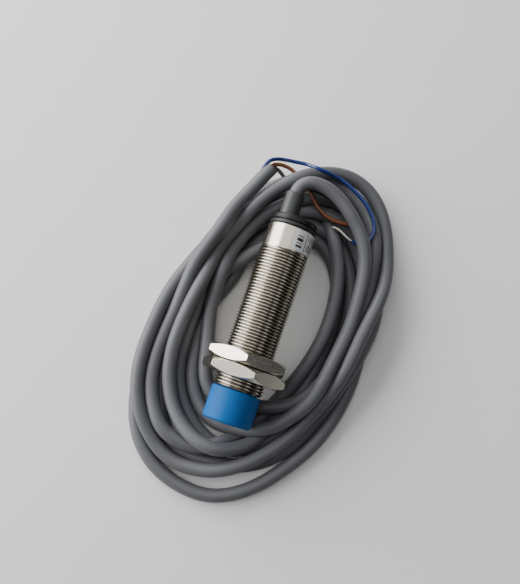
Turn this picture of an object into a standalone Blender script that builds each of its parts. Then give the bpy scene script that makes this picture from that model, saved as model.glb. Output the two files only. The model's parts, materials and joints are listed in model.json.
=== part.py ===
"""Threaded-barrel proximity sensor with two nuts, lying on its own coiled cable.

Frame: the barrel's axis is Y, the sensing face is at the origin and looks along -Y,
and Z is up. All lengths are in metres.
"""

import math

import bmesh
import bpy
from mathutils import Matrix, Vector

MM = 0.001
GAP = 0.3 * MM            # clearance between pieces that touch
LABEL_GAP = 0.15 * MM     # clearance under the thin label
ROUND = 48                # sides of the large round pieces
SMALL_ROUND = 20          # sides of the small round pieces

# Barrel
THREAD_R = 7.95 * MM      # crest of the M16 x 1 thread
SMOOTH_R = 7.55 * MM      # smooth rear end
BORE_R = 6.8 * MM
THREAD_LEN = 45.9 * MM
SMOOTH_LEN = 7.4 * MM

# Sensing cap
CAP_LEN = 10.3 * MM
CAP_R = 7.85 * MM
CAP_FACE = 0.9 * MM       # thickness of the sensing face
CAP_WALL = 1.0 * MM       # wall of the cap's skirt
CAP_SKIRT = 5.0 * MM      # depth of the skirt inside the barrel
CAP_EDGE = 0.9 * MM       # rounding of the front edge

# Ferrite core, bobbin and winding
CORE_LEN = 5.0 * MM
CORE_BACK = 1.7 * MM
CORE_POST_R = 2.1 * MM
CORE_RIM = 0.7 * MM
BOBBIN_WALL = 0.35 * MM
LEAD_R = 0.25 * MM
SPACER_LEN = 2.2 * MM

# Circuit board
BOARD_LEN = 35.0 * MM
BOARD_SIDE_GAP = 1.2 * MM  # from the board's lower edges to the barrel's wall
BOARD_THICK = 1.0 * MM
BOARD_DROP = 2.0 * MM     # underside of the board below the axis

# Nuts
NUT_AF = 24.0 * MM
NUT_THICK = 4.0 * MM
NUT_CHAMFER = 1.1 * MM
NUT_BORE_CHAMFER = 0.5 * MM
FRONT_NUT_AHEAD = 3.6 * MM  # bare thread between the cap and the front nut
FRONT_NUT_TURN = 13.7     # degrees, clockwise seen from the front
REAR_NUT_TURN = -2.0
NUT_FORWARD = 3.0 * MM    # how far the front nut can be screwed forwards
NUT_BACK = 22.0 * MM      # how far the rear nut can be screwed back
NUT_CLEAR = 0.45 * MM     # between the nuts' lowest corner and the surface below

# Rear end
RING_LEN = 1.1 * MM
RING_R = 7.5 * MM
RING_BORE_R = 6.8 * MM
END_CAP_LEN = 1.9 * MM
END_CAP_R = 7.5 * MM
END_CAP_EDGE = 0.8 * MM
SPIGOT_LEN = 4.5 * MM
SLEEVE_R = 3.0 * MM
SLEEVE_OUT = 8.2 * MM     # length of the sleeve behind the end cap
SPIGOT_WALL = 0.6 * MM    # wall beside the sleeve, which leaves off the axis, along X

# Label
LABEL_THICK = 0.12 * MM
LABEL_MARGIN = 0.3 * MM
LABEL_FROM = 10.0         # degrees from the top, towards +X
LABEL_SPAN = 150.0

# Cable and conductors
CABLE_R = 2.25 * MM
WIRE_R = 0.65 * MM
INNER_WIRE_R = 0.6 * MM
STRAND_R = 0.55 * MM      # twisted, tinned copper end

# Coil of cable: an oval ring on the surface under the sensor
COIL_CENTRE = Vector((2.7 * MM, 31.5 * MM))
COIL_LONG = 61.25 * MM    # half the oval's length
COIL_SHORT = 33.9 * MM    # half its width
COIL_TURN = 10.1          # degrees from Y towards X
COIL_HEIGHT = 7.8 * MM
COIL_PRESSED = 1.9 * MM   # how much lower the turns lie under the sensor
COIL_EDGE = 1.6 * MM      # chamfer of the coil's section
COIL_STATIONS = 72
# reach of the coil as a share of the oval, at bearings in degrees from its rear end
COIL_OUTER = {0: 1.0, 45: 1.02, 75: 0.95, 100: 0.96, 130: 1.02, 160: 0.99,
              185: 0.97, 215: 1.01, 250: 1.01, 280: 0.99, 310: 1.0, 335: 1.0}
COIL_INNER = {0: 0.61, 30: 0.59, 60: 0.545, 90: 0.50, 120: 0.49, 150: 0.47,
              180: 0.455, 200: 0.46, 215: 0.475, 240: 0.475, 255: 0.49, 270: 0.55,
              300: 0.60, 330: 0.62}

# places that follow from the sizes above
NUT_CORNER_R = NUT_AF / math.sqrt(3)
FLOOR = -(NUT_CORNER_R + NUT_CLEAR)
BARREL_FRONT = CAP_LEN + GAP
THREAD_END = BARREL_FRONT + THREAD_LEN
BARREL_REAR = THREAD_END + SMOOTH_LEN
RING_FRONT = BARREL_REAR + GAP
END_CAP_FRONT = RING_FRONT + RING_LEN + GAP
END_CAP_REAR = END_CAP_FRONT + END_CAP_LEN
SPIGOT_FRONT = BARREL_REAR - SPIGOT_LEN
SLEEVE_END = END_CAP_REAR + SLEEVE_OUT
SKIRT_R = BORE_R - GAP
SLEEVE_SIDE = -(SKIRT_R - SPIGOT_WALL - GAP - SLEEVE_R)
CAP_BORE_R = SKIRT_R - CAP_WALL
CORE_R = CAP_BORE_R - GAP
CORE_FRONT = CAP_FACE + GAP
CORE_REAR = CORE_FRONT + CORE_LEN
SPACER_FRONT = CORE_REAR + GAP
SPACER_REAR = SPACER_FRONT + SPACER_LEN
BOARD_FRONT = max(BARREL_FRONT + CAP_SKIRT, SPACER_REAR) + 3.6 * MM
BOARD_REAR = BOARD_FRONT + BOARD_LEN
BOARD_TOP = BOARD_THICK - BOARD_DROP
BOARD_HALF = math.sqrt(BORE_R ** 2 - BOARD_DROP ** 2) - BOARD_SIDE_GAP
FRONT_NUT_FRONT = BARREL_FRONT + FRONT_NUT_AHEAD
REAR_NUT_FRONT = FRONT_NUT_FRONT + NUT_THICK + GAP


def clear_scene():
    for old in list(bpy.data.objects):
        bpy.data.objects.remove(old, do_unlink=True)


def material(name, colour, roughness, metallic=0.0):
    mat = bpy.data.materials.new(name)
    mat.use_nodes = True
    shader = mat.node_tree.nodes["Principled BSDF"]
    shader.inputs["Base Color"].default_value = (*colour, 1.0)
    shader.inputs["Roughness"].default_value = roughness
    shader.inputs["Metallic"].default_value = metallic
    return mat


def finishes():
    return {
        "nickel": material("nickel", (0.66, 0.64, 0.59), 0.28, 1.0),
        "blue_cap": material("blue_cap", (0.02, 0.17, 0.42), 0.5),
        "black_plastic": material("black_plastic", (0.02, 0.02, 0.022), 0.3),
        "ring_grey": material("ring_grey", (0.07, 0.07, 0.075), 0.45),
        "cable_grey": material("cable_grey", (0.085, 0.085, 0.09), 0.5),
        "sleeve_grey": material("sleeve_grey", (0.13, 0.135, 0.135), 0.42),
        "label_white": material("label_white", (0.72, 0.73, 0.74), 0.45),
        "ferrite": material("ferrite", (0.05, 0.05, 0.055), 0.6),
        "bobbin": material("bobbin", (0.75, 0.72, 0.62), 0.5),
        "copper": material("copper", (0.72, 0.33, 0.15), 0.3, 1.0),
        "board_green": material("board_green", (0.02, 0.16, 0.06), 0.4),
        "chip_black": material("chip_black", (0.02, 0.02, 0.02), 0.4),
        "tantalum": material("tantalum", (0.75, 0.42, 0.05), 0.45),
        "ceramic": material("ceramic", (0.62, 0.55, 0.42), 0.5),
        "led_yellow": material("led_yellow", (0.8, 0.55, 0.05), 0.25),
        "wire_blue": material("wire_blue", (0.02, 0.08, 0.38), 0.4),
        "wire_brown": material("wire_brown", (0.16, 0.045, 0.02), 0.4),
        "wire_black": material("wire_black", (0.015, 0.015, 0.017), 0.4),
        "tinned": material("tinned", (0.62, 0.62, 0.6), 0.3, 1.0),
    }


def finish_mesh(name, bm, mat, smooth=True):
    """Turn a bmesh into a named object with outward faces."""
    bmesh.ops.remove_doubles(bm, verts=bm.verts, dist=1e-7)
    bmesh.ops.recalc_face_normals(bm, faces=bm.faces)
    mesh = bpy.data.meshes.new(name)
    bm.to_mesh(mesh)
    bm.free()
    if smooth:
        mesh.shade_smooth()
        mesh.set_sharp_from_angle(angle=math.radians(35))
    mesh.materials.append(mat)
    obj = bpy.data.objects.new(name, mesh)
    bpy.context.collection.objects.link(obj)
    return obj


def turned(name, profile, mat, centre=(0.0, 0.0), steps=ROUND):
    """Spin a closed outline of (y, radius) points about a line along Y.

    An outline whose first and last radius is zero makes a solid, any other a ring.
    """
    bm = bmesh.new()
    verts = [bm.verts.new((0.0, y, r)) for y, r in profile]
    pairs = list(zip(verts, verts[1:]))
    if profile[0][1] > 0.0:
        pairs.append((verts[-1], verts[0]))
    edges = [bm.edges.new(pair) for pair in pairs]
    bmesh.ops.spin(bm, geom=verts + edges, cent=(0, 0, 0), axis=(0, 1, 0),
                   angle=math.tau, steps=steps, use_merge=True)
    bmesh.ops.translate(bm, verts=bm.verts, vec=(centre[0], 0.0, centre[1]))
    return finish_mesh(name, bm, mat)


def rod(name, y0, y1, radius, mat, centre=(0.0, 0.0), steps=SMALL_ROUND):
    return turned(name, [(y0, 0.0), (y0, radius), (y1, radius), (y1, 0.0)], mat, centre, steps)


def block(name, low, high, mat):
    bm = bmesh.new()
    bmesh.ops.create_cube(bm, size=1.0)
    size = [h - l for l, h in zip(low, high)]
    middle = [(h + l) / 2 for l, h in zip(low, high)]
    bmesh.ops.scale(bm, verts=bm.verts, vec=size)
    bmesh.ops.translate(bm, verts=bm.verts, vec=middle)
    return finish_mesh(name, bm, mat, smooth=False)


def as_cutter(obj):
    obj.hide_render = True
    obj.display_type = 'WIRE'
    return obj


def boolean(obj, cutter, operation):
    mod = obj.modifiers.new(cutter.name, 'BOOLEAN')
    mod.object = as_cutter(cutter)
    mod.operation = operation
    mod.solver = 'EXACT'


def smooth_curve(points, per_span):
    """Points of a Catmull-Rom curve through a route's own points."""
    route = [Vector(p) * MM for p in points]
    ends = [2 * route[0] - route[1]] + route + [2 * route[-1] - route[-2]]
    out = []
    for a, b, c, d in zip(ends, ends[1:], ends[2:], ends[3:]):
        for step in range(per_span):
            t = step / per_span
            out.append(0.5 * (2 * b + (c - a) * t + (2 * a - 5 * b + 4 * c - d) * t ** 2
                              + (3 * b - 3 * c + d - a) * t ** 3))
    return out + [route[-1]]


def cord(name, points, radius, mat, per_span=2, bevel=2):
    """A round cord along a smooth curve through points in millimetres."""
    line = smooth_curve(points, per_span)
    curve = bpy.data.curves.new(name, 'CURVE')
    curve.dimensions = '3D'
    curve.bevel_depth = radius
    curve.bevel_resolution = bevel
    curve.use_fill_caps = True
    curve.resolution_u = 1
    curve.render_resolution_u = 0
    spline = curve.splines.new('POLY')
    spline.points.add(len(line) - 1)
    for point, place in zip(spline.points, line):
        point.co = (*place, 1.0)
    curve.materials.append(mat)
    obj = bpy.data.objects.new(name, curve)
    bpy.context.collection.objects.link(obj)
    return obj


def make_cap(mats):
    rear = BARREL_FRONT + CAP_SKIRT
    arc = [(CAP_EDGE * (1 - math.cos(a)), CAP_R - CAP_EDGE * (1 - math.sin(a)))
           for a in (math.radians(22.5 * k) for k in range(5))]
    profile = [(0.0, 0.0)] + arc + [
        (CAP_LEN, CAP_R), (CAP_LEN, SKIRT_R), (rear, SKIRT_R), (rear, CAP_BORE_R),
        (CAP_FACE, CAP_BORE_R), (CAP_FACE, 0.0)]
    turned("sensing_cap", profile, mats["blue_cap"])


def make_core(mats):
    groove = CORE_REAR - CORE_BACK
    rim = CORE_R - CORE_RIM
    turned("ferrite_core", [
        (CORE_FRONT, 0.0), (CORE_FRONT, CORE_POST_R), (groove, CORE_POST_R), (groove, rim),
        (CORE_FRONT, rim), (CORE_FRONT, CORE_R), (CORE_REAR, CORE_R), (CORE_REAR, 0.0),
    ], mats["ferrite"])
    inner = CORE_POST_R + GAP
    outer = rim - GAP
    front = CORE_FRONT
    rear = groove - GAP
    turned("coil_bobbin", [
        (front, inner), (front, outer), (front + BOBBIN_WALL, outer),
        (front + BOBBIN_WALL, inner + BOBBIN_WALL), (rear - BOBBIN_WALL, inner + BOBBIN_WALL),
        (rear - BOBBIN_WALL, outer), (rear, outer), (rear, inner),
    ], mats["bobbin"], steps=36)
    wound_from = front + BOBBIN_WALL + GAP
    wound_to = rear - BOBBIN_WALL - GAP
    turned("sensing_coil", [
        (wound_from, inner + BOBBIN_WALL + GAP), (wound_from, outer),
        (wound_to, outer), (wound_to, inner + BOBBIN_WALL + GAP),
    ], mats["copper"], steps=36)
    rod("core_spacer", SPACER_FRONT, SPACER_REAR, CORE_R, mats["bobbin"], steps=36)
    for number, side in ((1, -1), (2, 1)):
        start = Vector((side * 2.0, (SPACER_REAR + GAP) / MM, 0.0))
        end = Vector((side * 1.6, BOARD_FRONT / MM + 1.5, (BOARD_TOP + GAP + LEAD_R) / MM))
        path = [start, start + Vector((0, 1.8, 0)), end + Vector((0, -2.0, 0.4)), end]
        cord(f"coil_lead_{number}", path, LEAD_R, mats["copper"], per_span=3)


def make_board(mats):
    block("circuit_board", (-BOARD_HALF, BOARD_FRONT, -BOARD_DROP),
          (BOARD_HALF, BOARD_REAR, BOARD_TOP), mats["board_green"])
    base = BOARD_TOP + GAP
    pieces = (
        # name, offset along the board, centre x, size x, y, z, finish
        ("oscillator_chip", 6.0, 0.0, 5.0, 5.2, 1.5, "chip_black"),
        ("filter_capacitor", 13.6, -2.7, 2.8, 3.5, 2.0, "tantalum"),
        ("resistor_1", 13.6, 1.2, 1.2, 2.0, 0.6, "ceramic"),
        ("resistor_2", 13.6, 3.6, 1.2, 2.0, 0.6, "ceramic"),
        ("output_transistor", 19.4, 1.6, 4.4, 3.4, 1.6, "chip_black"),
        ("resistor_3", 19.4, -3.0, 1.2, 2.0, 0.6, "ceramic"),
        ("protection_diode", 24.6, 2.4, 2.0, 3.8, 1.3, "chip_black"),
        ("indicator_led", 30.6, 3.6, 1.6, 2.0, 1.2, "led_yellow"),
    )
    for name, along, x, size_x, size_y, size_z, finish in pieces:
        y = BOARD_FRONT + along * MM
        low = (x * MM - size_x * MM / 2, y, base)
        high = (x * MM + size_x * MM / 2, y + size_y * MM, base + size_z * MM)
        block(name, low, high, mats[finish])


def make_barrel(mats):
    turned("threaded_barrel", [
        (BARREL_FRONT, BORE_R), (BARREL_FRONT, THREAD_R), (THREAD_END, THREAD_R),
        (THREAD_END, SMOOTH_R), (BARREL_REAR, SMOOTH_R), (BARREL_REAR, BORE_R),
    ], mats["nickel"], steps=64)


def make_rear_end(mats):
    rear = RING_FRONT + RING_LEN
    turned("light_ring", [
        (RING_FRONT, RING_BORE_R), (RING_FRONT, RING_R), (rear, RING_R), (rear, RING_BORE_R),
    ], mats["ring_grey"])
    arc = [(END_CAP_REAR - END_CAP_EDGE * (1 - math.cos(a)),
            END_CAP_R - END_CAP_EDGE * (1 - math.sin(a)))
           for a in (math.radians(90 - 22.5 * k) for k in range(5))]
    end_cap = turned("end_cap", [
        (SPIGOT_FRONT, 0.0), (SPIGOT_FRONT, SKIRT_R), (END_CAP_FRONT, SKIRT_R),
        (END_CAP_FRONT, END_CAP_R)] + arc + [(END_CAP_REAR, 0.0)], mats["black_plastic"])
    place = (SLEEVE_SIDE, 0.0)
    hole = rod("sleeve_hole", SPIGOT_FRONT - MM, END_CAP_REAR + MM, SLEEVE_R + GAP,
               mats["black_plastic"], place, 32)
    boolean(end_cap, hole, 'DIFFERENCE')
    turned("cable_sleeve", [
        (SPIGOT_FRONT, CABLE_R + GAP), (SPIGOT_FRONT, SLEEVE_R), (SLEEVE_END, SLEEVE_R),
        (SLEEVE_END, CABLE_R + GAP),
    ], mats["sleeve_grey"], place, 32)


def make_inner_cable(mats):
    front = SPIGOT_FRONT - 1.0 * MM
    rod("inner_cable", front, SLEEVE_END, CABLE_R, mats["cable_grey"], (SLEEVE_SIDE, 0.0), 24)
    pads = (("brown", -1.1, 1.1, -4.1), ("blue", 1.1, 1.1, -0.9), ("black", 0.0, -0.25, -2.5))
    for colour, dx, dz, pad in pads:
        start = Vector((SLEEVE_SIDE / MM + dx, (front - GAP) / MM, dz))
        end = Vector((pad, BOARD_REAR / MM - 6.0, (BOARD_TOP + GAP + INNER_WIRE_R) / MM))
        reach = (start - end).y
        path = [start, start - Vector((0, 0.3 * reach, 0)), end + Vector((0, 0.3 * reach, 0)), end]
        cord(f"inner_wire_{colour}", path, INNER_WIRE_R, mats[f"wire_{colour}"], per_span=3)


def make_label(mats):
    """A thin curved plate round part of the barrel's smooth end."""
    bm = bmesh.new()
    inner = SMOOTH_R + LABEL_GAP
    low = THREAD_END + LABEL_MARGIN
    high = BARREL_REAR - LABEL_MARGIN
    corners = [bm.verts.new((0.0, y, r)) for y, r in
               ((low, inner), (low, inner + LABEL_THICK), (high, inner + LABEL_THICK),
                (high, inner))]
    face = bm.faces.new(corners)
    bmesh.ops.rotate(bm, verts=corners, cent=(0, 0, 0),
                     matrix=Matrix.Rotation(math.radians(LABEL_FROM), 3, 'Y'))
    bmesh.ops.spin(bm, geom=[face], cent=(0, 0, 0), axis=(0, 1, 0),
                   angle=math.radians(LABEL_SPAN), steps=24)
    finish_mesh("label", bm, mats["label_white"])


def make_nut(name, front, turn, mats):
    """A thin hexagon nut: a chamfered ring cut to six flats."""
    bore = THREAD_R + GAP
    corner = NUT_CORNER_R + 0.5 * MM
    face_r = NUT_AF / 2 - 0.1 * MM
    rear = front + NUT_THICK
    nut = turned(name, [
        (front, bore + NUT_BORE_CHAMFER), (front, face_r), (front + NUT_CHAMFER, corner),
        (rear - NUT_CHAMFER, corner), (rear, face_r), (rear, bore + NUT_BORE_CHAMFER),
        (rear - NUT_BORE_CHAMFER, bore), (front + NUT_BORE_CHAMFER, bore),
    ], mats["nickel"], steps=60)
    hexagon = rod(f"{name}_flats", front - MM, rear + MM, NUT_CORNER_R, mats["nickel"],
                  steps=6)
    hexagon.data.transform(Matrix.Rotation(math.radians(turn), 4, 'Y'))
    boolean(nut, hexagon, 'INTERSECT')


def reach_at(shares, bearing):
    """Share of the oval at a bearing, eased between the named bearings."""
    keys = sorted(shares)
    for here, there in zip(keys, keys[1:] + [keys[0] + 360]):
        if here <= bearing < there:
            t = (bearing - here) / (there - here)
            t = t * t * (3 - 2 * t)
            return shares[here] * (1 - t) + shares[there % 360] * t
    return shares[keys[0]]


def oval(bearing, share):
    """Point of the coil's oval at a bearing from its rear end, clockwise from above."""
    turn = math.radians(COIL_TURN)
    along = Vector((math.sin(turn), math.cos(turn)))
    across = Vector((math.cos(turn), -math.sin(turn)))
    angle = math.radians(bearing)
    offset = COIL_LONG * math.cos(angle) * along + COIL_SHORT * math.sin(angle) * across
    return COIL_CENTRE + share * offset


def make_coil(mats):
    """The outer shape of the cable's turns: an oval ring with chamfered edges."""
    bm = bmesh.new()
    top = FLOOR + COIL_HEIGHT
    rings = []
    for station in range(COIL_STATIONS):
        bearing = 360 * station / COIL_STATIONS
        outer = oval(bearing, reach_at(COIL_OUTER, bearing))
        inner = oval(bearing, reach_at(COIL_INNER, bearing))
        inward = (inner - outer).normalized() * COIL_EDGE
        section = ((outer, FLOOR), (outer, top - COIL_EDGE), (outer + inward, top),
                   (inner - inward, top), (inner, top - COIL_EDGE), (inner, FLOOR))
        rings.append([bm.verts.new((*place, z)) for place, z in section])
    for here, there in zip(rings, rings[1:] + rings[:1]):
        for k in range(len(here)):
            n = (k + 1) % len(here)
            bm.faces.new((here[k], here[n], there[n], there[k]))
    coil = finish_mesh("cable_coil", bm, mats["cable_grey"])
    half = THREAD_R + 1.0 * MM
    room = block("sensor_room", (-half, -1.5 * MM, FLOOR + COIL_HEIGHT - COIL_PRESSED),
                 (half, END_CAP_REAR + MM, THREAD_R), mats["cable_grey"])
    boolean(coil, room, 'DIFFERENCE')
    nut_half = NUT_CORNER_R + GAP
    nut_room = block("nut_room", (-nut_half, FRONT_NUT_FRONT - NUT_FORWARD - GAP, FLOOR - MM),
                     (nut_half, REAR_NUT_FRONT + NUT_THICK + NUT_BACK + GAP, NUT_CORNER_R),
                     mats["cable_grey"])
    boolean(coil, nut_room, 'DIFFERENCE')


# Routes of the loose stretches, in millimetres
LEAD_ROUTE = (
    (-2.6, 76.2, 0.0), (-2.3, 77.6, 0.05), (-1.2, 79.6, 0.1), (1.2, 81.3, 0.0),
    (4.4, 82.0, -0.3), (8.0, 81.4, -0.8), (12.0, 79.3, -1.4), (15.4, 76.5, -1.9),
    (17.6, 74.2, -2.1))
TAIL_ROUTE = (
    (-22.4, 56.0, -3.95), (-20.6, 62.0, -3.9), (-18.6, 68.2, -3.7), (-16.8, 74.0, -3.4),
    (-15.5, 78.0, -3.1), (-14.4, 81.0, -2.9))
BLUE_ROUTE = (
    (-14.95, 81.9, -2.45), (-14.2, 83.9, -2.8), (-12.2, 85.6, -3.7), (-9.4, 86.6, -4.7),
    (-6.0, 87.3, -5.45), (-1.2, 87.8, -5.45), (5.8, 87.4, -5.45), (11.5, 86.2, -5.45),
    (16.3, 84.0, -5.45), (20.7, 81.2, -5.45), (24.0, 77.6, -5.45), (25.6, 73.8, -5.45),
    (24.9, 70.2, -5.45), (22.6, 68.2, -5.45), (19.8, 68.0, -5.45))
TIP_ROUTE = (
    (19.4, 68.15, -5.45), (17.0, 69.2, -5.5), (14.4, 70.4, -5.5), (12.2, 70.6, -5.5))
BROWN_ROUTE = (
    (-13.45, 81.35, -2.45), (-12.6, 83.0, -2.9), (-10.8, 84.2, -3.9), (-8.4, 84.6, -4.9),
    (-6.0, 84.2, -5.45), (-3.5, 83.0, -5.45), (-0.8, 81.3, -5.45), (2.4, 78.8, -5.45),
    (4.9, 75.8, -5.45), (8.7, 73.6, -5.45), (12.4, 72.8, -5.45), (16.0, 73.0, -5.45))
BLACK_ROUTE = (
    (-14.2, 81.65, -3.85), (-13.7, 82.8, -4.7), (-12.4, 83.2, -5.4), (-10.6, 82.8, -5.45),
    (-8.6, 81.6, -5.45), (-7.0, 80.4, -5.35), (-4.6, 79.6, -4.9), (-2.2, 79.4, -4.15),
    (0.4, 79.8, -3.85), (3.2, 79.9, -3.85), (6.4, 79.6, -4.3), (10.0, 78.7, -5.0),
    (13.6, 76.9, -5.45))


def make_loose_cable(mats):
    cord("cable_lead", LEAD_ROUTE, CABLE_R, mats["cable_grey"])
    cord("cable_tail", TAIL_ROUTE, CABLE_R, mats["cable_grey"])
    cord("blue_wire", BLUE_ROUTE, WIRE_R, mats["wire_blue"])
    cord("blue_wire_tip", TIP_ROUTE, STRAND_R, mats["tinned"])
    cord("brown_wire", BROWN_ROUTE, WIRE_R, mats["wire_brown"])
    cord("black_wire", BLACK_ROUTE, WIRE_R, mats["wire_black"])


def main():
    clear_scene()
    mats = finishes()
    make_cap(mats)
    make_core(mats)
    make_board(mats)
    make_barrel(mats)
    make_rear_end(mats)
    make_inner_cable(mats)
    make_label(mats)
    make_nut("front_nut", FRONT_NUT_FRONT, FRONT_NUT_TURN, mats)
    make_nut("rear_nut", REAR_NUT_FRONT, REAR_NUT_TURN, mats)
    make_coil(mats)
    make_loose_cable(mats)


main()
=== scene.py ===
"""Looks of an M16 proximity sensor lying on its own loosely wound cable.

The barrel's axis is Y, the sensing face is at the origin and looks along -Y, Z is up.
Sizes are in millimetres inside the functions and become metres in make_mesh.
"""

import json
import math

import bmesh
import bpy
import numpy as np
from mathutils import Matrix, Vector


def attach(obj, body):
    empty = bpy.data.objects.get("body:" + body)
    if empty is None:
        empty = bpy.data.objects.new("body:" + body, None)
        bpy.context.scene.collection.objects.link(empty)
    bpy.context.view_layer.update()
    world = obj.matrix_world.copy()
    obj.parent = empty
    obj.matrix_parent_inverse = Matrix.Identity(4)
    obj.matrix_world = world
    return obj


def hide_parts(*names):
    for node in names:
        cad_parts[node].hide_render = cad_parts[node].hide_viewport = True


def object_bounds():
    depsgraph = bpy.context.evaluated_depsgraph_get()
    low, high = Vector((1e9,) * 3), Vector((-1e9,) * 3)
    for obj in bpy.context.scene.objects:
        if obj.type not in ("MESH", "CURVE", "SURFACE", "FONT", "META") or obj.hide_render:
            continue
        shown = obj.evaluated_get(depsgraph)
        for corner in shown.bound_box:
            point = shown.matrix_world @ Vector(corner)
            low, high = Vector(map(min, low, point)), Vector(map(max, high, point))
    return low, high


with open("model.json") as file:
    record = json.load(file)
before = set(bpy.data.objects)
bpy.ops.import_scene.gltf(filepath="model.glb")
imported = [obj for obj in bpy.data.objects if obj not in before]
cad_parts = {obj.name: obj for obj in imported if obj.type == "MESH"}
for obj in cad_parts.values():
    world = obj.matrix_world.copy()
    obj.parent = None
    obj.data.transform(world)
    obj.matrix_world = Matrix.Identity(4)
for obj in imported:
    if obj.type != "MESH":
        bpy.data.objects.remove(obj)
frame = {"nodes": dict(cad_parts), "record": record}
CAD_LOW, CAD_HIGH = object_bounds()

MM = 0.001

# Sizes shared with the CAD model
FLOOR = CAD_LOW.z / MM
CABLE_R = 2.25
WIRE_R = 0.65
STRAND_R = 0.16
TIP_R = 0.45
PITCH = 1.0                    # of the barrel's thread

# The sensor's own sizes along and about its axis
BARREL_FRONT, THREAD_END, BARREL_REAR = 10.6, 56.5, 63.9
THREAD_R, THREAD_DEPTH, SMOOTH_R, BORE_R = 7.95, 0.61, 7.55, 6.8
CAP_R, CAP_BACK, SKIRT_R, SKIRT_BACK, CAP_INNER_R, CAP_WALL = 7.85, 10.3, 6.5, 15.6, 5.5, 0.9
RING_FRONT, RING_REAR, RING_R = 64.2, 65.3, 7.5
REAR_CAP_FRONT, FLANGE_FRONT, REAR_CAP_END, SPIGOT_R = 59.4, 65.6, 67.5, 6.5
SLEEVE_X, SLEEVE_R, SLEEVE_END, SLEEVE_HOLE_R = -2.6, 3.0, 75.7, 3.12
LABEL_LOW, LABEL_HIGH, LABEL_R, LABEL_THICK = 56.8, 63.6, 7.6, 0.1
LABEL_FROM, LABEL_TO = 10.0, 160.0             # degrees from the top
FRONT_NUT, REAR_NUT = (14.2, 13.7), (18.5, -2.0)   # front face, turn of a corner in degrees
NUT_THICK, NUT_BORE_R, NUT_HALF_FLATS, NUT_FACE_R, NUT_SLOPE = 4.0, 8.25, 12.0, 11.9, 0.6

# Camera: straight down, leaned back a little and rolled
EYE = np.array([-3.2, 10.4, 243.5])
EYE_LEAN = math.radians(7.38)
EYE_ROLL = math.radians(19.0)
LENS = 48.1

# Oval of the cable's turns, seen on the floor plane
OVAL_CENTRE = np.array([2.7, 31.5])
OVAL_LONG = 61.25
OVAL_SHORT = 33.87
OVAL_TURN = math.radians(10.15)
STEP = 1.6                     # spacing of the points along the cable
ROUNDS = 300                   # of settling
LAST_ROUNDS = 40               # with more passes of pushing apart
SINK = 0.16                    # drop of a free point in each round
GIVE = 0.80                    # share of its sideways shift that a point keeps each round
LAYER = 5.2                    # height of one layer before the turns settle


# ---------------------------------------------------------------- camera

def make_camera():
    """A camera above the sensor, leaned back and rolled about its line of sight."""
    data = bpy.data.cameras.new("camera")
    data.lens = LENS
    data.sensor_width = 36.0
    data.clip_start = 0.01
    data.clip_end = 10.0
    camera = bpy.data.objects.new("camera", data)
    bpy.context.scene.collection.objects.link(camera)
    forward = Vector((0.0, math.sin(EYE_LEAN), -math.cos(EYE_LEAN)))
    level = Vector((0.0, math.cos(EYE_LEAN), math.sin(EYE_LEAN)))
    side = Vector((1.0, 0.0, 0.0))
    right = math.cos(EYE_ROLL) * side + math.sin(EYE_ROLL) * level
    up = math.cos(EYE_ROLL) * level - math.sin(EYE_ROLL) * side
    turn = Matrix((right, up, -forward)).transposed()
    camera.matrix_world = Matrix.Translation(Vector(EYE * MM)) @ turn.to_4x4()
    bpy.context.scene.camera = camera


# ---------------------------------------------------------------- mesh helpers

def make_mesh(name, points, faces, body="sensor", sharp=40.0):
    """A named piece from points in millimetres and faces: doubles merged, faces turned
    outwards, shaded smooth but for sharp edges."""
    shape = bmesh.new()
    mesh = bpy.data.meshes.new(name)
    mesh.from_pydata((np.asarray(points) * MM).tolist(), [], [list(f) for f in faces])
    shape.from_mesh(mesh)
    bmesh.ops.remove_doubles(shape, verts=shape.verts, dist=2e-6)
    bmesh.ops.dissolve_degenerate(shape, edges=shape.edges, dist=1e-7)
    bmesh.ops.recalc_face_normals(shape, faces=shape.faces)
    shape.to_mesh(mesh)
    shape.free()
    mesh.shade_smooth()
    mesh.set_sharp_from_angle(angle=math.radians(sharp))
    piece = bpy.data.objects.new(name, mesh)
    bpy.context.scene.collection.objects.link(piece)
    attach(piece, body)
    return piece


def grid_faces(rows, columns, wrap_rows=False, wrap_columns=True):
    """Quads of a grid of rows by columns, either way round."""
    r = np.arange(rows if wrap_rows else rows - 1)[:, None]
    c = np.arange(columns if wrap_columns else columns - 1)[None, :]
    here, there = r * columns, (r + 1) % rows * columns
    near, far = c, (c + 1) % columns
    quads = np.stack([here + near, here + far, there + far, there + near], -1)
    return quads.reshape(-1, 4)


def curve_through(route, spacing):
    """Evenly spaced points of a Catmull-Rom curve through a route's points."""
    p = np.asarray(route, float)
    p = np.vstack([2 * p[0] - p[1], p, 2 * p[-1] - p[-2]])
    t = np.linspace(0, 1, 24, endpoint=False)[:, None]
    runs = [0.5 * (2 * b + (c - a) * t + (2 * a - 5 * b + 4 * c - d) * t ** 2
                   + (3 * b - 3 * c + d - a) * t ** 3)
            for a, b, c, d in zip(p, p[1:], p[2:], p[3:])]
    return evenly(np.vstack(runs + [p[-2:-1]]), spacing)


def lengths_along(points):
    return np.r_[0.0, np.cumsum(np.linalg.norm(np.diff(points, axis=0), axis=1))]


def evenly(points, spacing):
    """The same polyline with points an equal distance apart."""
    along = lengths_along(points)
    count = max(2, int(round(along[-1] / spacing)) + 1)
    wanted = np.linspace(0, along[-1], count)
    return np.stack([np.interp(wanted, along, points[:, k]) for k in range(points.shape[1])], -1)


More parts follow.
